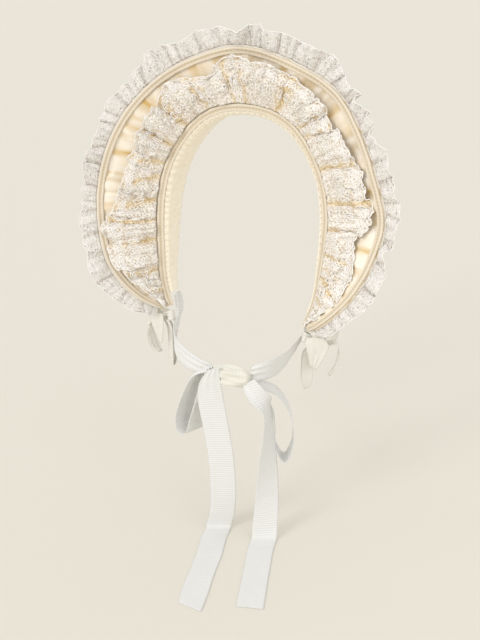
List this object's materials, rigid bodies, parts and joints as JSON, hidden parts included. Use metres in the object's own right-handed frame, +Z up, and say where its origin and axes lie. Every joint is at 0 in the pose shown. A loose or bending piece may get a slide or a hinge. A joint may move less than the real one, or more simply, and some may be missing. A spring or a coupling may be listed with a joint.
{
  "type": "half bonnet",
  "caption": "Half bonnet with a crescent padded brim, eyelet and embroidered lace frills, corner bows and ribbon ties bowed under the chin.",
  "frame": {"origin": "top centre of the crown band's inner face, where the band sits on the head", "axes": "+Z up, the face opening looks along -Y, the wearer's left is +X"},
  "size_m": [0.3808, 0.3, 0.5443],
  "materials": {
    "lining": "cream cotton satin, softly gathered",
    "band": "cream cotton, gathered",
    "piping": "beige twin-corded band",
    "eyelet_lace": "white cotton eyelet lace",
    "embroidered_lace": "white embroidered lace",
    "ribbon": "ivory ribbed grosgrain",
    "satin": "ivory satin ribbon"
  },
  "bodies": {
    "root": {"brim": "lining", "crown_band": "band", "outer_piping": "piping", "inner_piping": "piping", "outer_frill": "eyelet_lace", "inner_frill": "embroidered_lace", "left_tie": "ribbon", "right_tie": "ribbon", "chin_knot": "ribbon", "left_chin_loop": "ribbon", "right_chin_loop": "ribbon", "left_tail": "ribbon", "right_tail": "ribbon", "left_bow_knot": "satin", "left_bow_inner_loop": "satin", "left_bow_outer_loop": "satin", "left_bow_hanging_loop": "satin", "left_bow_front_tail": "satin", "left_bow_thin_tail": "satin", "right_bow_knot": "satin", "right_bow_inner_loop": "satin", "right_bow_outer_loop": "satin", "right_bow_hanging_loop": "satin", "right_bow_front_tail": "satin", "right_bow_thin_tail": "satin"}
  },
  "joints": []
}
